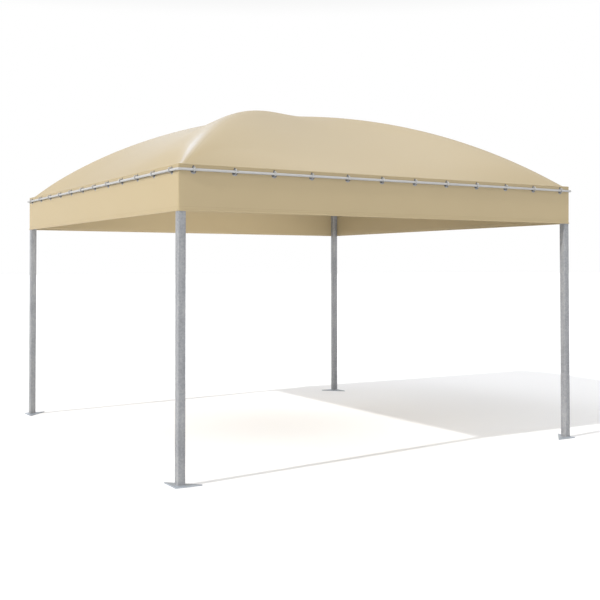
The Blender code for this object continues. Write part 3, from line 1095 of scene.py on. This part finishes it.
def make_hub():
    """Eight-sided drum with a spigot into each rib and a bolt up through the middle."""
    top = rib_point(RIB_TOP)
    flat = math.hypot(top.x, top.y) - HUB_CLEAR
    half_turn = math.pi / HUB_SIDES
    bpy.ops.mesh.primitive_cylinder_add(
        vertices=HUB_SIDES, radius=flat / math.cos(half_turn), depth=2 * HUB_HALF_HEIGHT,
        location=(0.0, 0.0, top.z), rotation=(0.0, 0.0, half_turn))
    hub = added("crown_hub")
    bevel(hub, lambda edge: edge.calc_face_angle(0.0) > 0.5, HUB_EDGE, segments=3)
    edit(hub)
    pick("FACE", lambda face: face.normal.z < -NEARLY and face.calc_area() > HUB_FACE_AREA)
    bpy.ops.mesh.inset(thickness=HUB_RIM)
    bpy.ops.transform.translate(value=(0.0, 0.0, HUB_RECESS))
    done()
    below = rib_point(RIB_TOP + HUB_SPIGOT_RUN)
    direction = (below - top).normalized()
    for index in range(4):
        start = quarter(index) @ (top - direction * HUB_SPIGOT_ROOT)
        end = quarter(index) @ below
        fuse(hub, rod("hub_spigot", start, end, HUB_SPIGOT_RADIUS))
    seat = (0.0, 0.0, top.z - HUB_HALF_HEIGHT + HUB_RECESS)
    bolt = hex_bolt("bolt", seat, (0.0, 0.0, -1.0), HUB_BOLT)
    return smooth(join([hub, *bolt], "crown_hub"))


# Stage
def hang_light(lamp, place, way):
    """Put a light at a place, shining one way."""
    light = placed(lamp.name, lamp)
    light.location = place
    light.rotation_euler = Vector(way).to_track_quat("-Z", "Y").to_euler()
    return light


def soft_box(name, size, power):
    """Data of a rectangular soft box."""
    box = bpy.data.lights.new(name, "AREA")
    box.shape = "RECTANGLE"
    box.size, box.size_y = size
    box.energy = power
    return box


def hang_gloss_light(name, place, aim, size, power, colour=(1.0, 1.0, 1.0)):
    """Soft box behind the gazebo, turned to a spot on its roof, that only shines on glossy coats."""
    box = soft_box(name, size, power)
    box.color = colour
    light = hang_light(box, place, Vector(aim) - Vector(place))
    light.visible_camera = False
    light.visible_diffuse = False


def make_sky():
    """White backdrop up to a little above the horizon, a dimmer band, and a bright ring high up."""
    world = bpy.data.worlds.new("studio")
    bpy.context.scene.world = world
    world.use_nodes = True
    sky = Nodes(world.node_tree)
    way = sky.node("ShaderNodeTexCoord", {}, {}, "Generated")
    height = sky.node("ShaderNodeSeparateXYZ", {}, {"Vector": way}, "Z")
    stops = [(place, (level, level, level)) for place, level in SKY_LEVELS]
    glow = sky.node("ShaderNodeValToRGB", {"stops": stops}, {"Fac": height})
    background = world.node_tree.nodes["Background"]
    sky.link(glow, background.inputs["Color"])
    sky.link(SKY_POWER, background.inputs["Strength"])


def make_lights():
    """Sun from the left, a low soft box in front, and two lights for the roof's sheen."""
    key = bpy.data.lights.new("key_light", "SUN")
    key.energy = SUN_POWER
    key.angle = math.radians(SUN_WIDTH)
    key.color = SUN_COLOUR
    hang_light(key, SUN_PLACE, SUN_WAY)
    hang_gloss_light("ridge_light", place=(0.6, 8.7, 11.3), aim=(-1.6, -1.6, 2.6), size=(1.3, 3.4),
                     power=300.0, colour=(0.5, 0.68, 1.0))
    hang_gloss_light("eave_light", place=(6.4, -0.1, 14.9), aim=(0.0, -1.85, 2.45), size=(5.5, 5.5),
                     power=460.0)
    fill = soft_box("fill_light", FILL_SIZE, FILL_POWER)
    fill.spread = math.radians(FILL_SPREAD)
    hang_light(fill, FILL_PLACE, FILL_WAY).visible_camera = False


def make_camera():
    """Camera at the photo's place, at eye height."""
    lens = bpy.data.cameras.new("camera")
    lens.sensor_width = SENSOR_WIDTH
    lens.lens = LENS
    lens.shift_x, lens.shift_y = LENS_SHIFT
    lens.clip_end = VIEW_END
    camera = placed("camera", lens)
    camera.location = CAMERA_PLACE
    camera.rotation_euler = (math.pi / 2 + CAMERA_RISE, 0.0, CAMERA_TURN)
    bpy.context.scene.camera = camera
    bpy.context.scene.view_settings.view_transform = "Standard"


def make_stage():
    """Floor, sky, lights and camera."""
    bpy.ops.mesh.primitive_plane_add(size=FLOOR_SIZE, location=(0.0, 0.0, FLOOR_LEVEL))
    floor = added("floor")
    floor.data.materials.append(pale_floor())
    make_sky()
    make_lights()
    make_camera()


def make_gazebo():
    """All pieces, with their materials and bodies."""
    fabric = coated_fabric()
    zinc = galvanised_steel()
    bright = bar_steel()

    around(make_post(), "post", CORNERS, zinc, "post")
    around(make_foot_plate(), "foot_plate", CORNERS, zinc, "foot_plate")
    around(make_bracket(), "corner_bracket", CORNERS, zinc, "corner_bracket")
    around(make_rib(), "rib", CORNERS, zinc, "rib")
    around(make_beam(), "eave_beam", SIDES, zinc, "eave_beam")
    hand_in(make_hub(), ["crown_hub"], zinc)
    around(make_bar(), "tension_bar", SIDES, bright, "tension_bar")
    around(make_elbow(), "bar_elbow", CORNERS, bright, "bar_elbow")

    roof = hand_in(make_roof(), ["roof_cover"], fabric)
    skirts = around(make_skirt(), "skirt_fabric", SIDES, fabric, "skirt")
    eyelets = around(make_eyelets(), "eyelets", SIDES, zinc)
    for side, skirt, rings in zip(SIDES, skirts, eyelets):
        "eave_beam_" + side


make_gazebo()
make_stage()
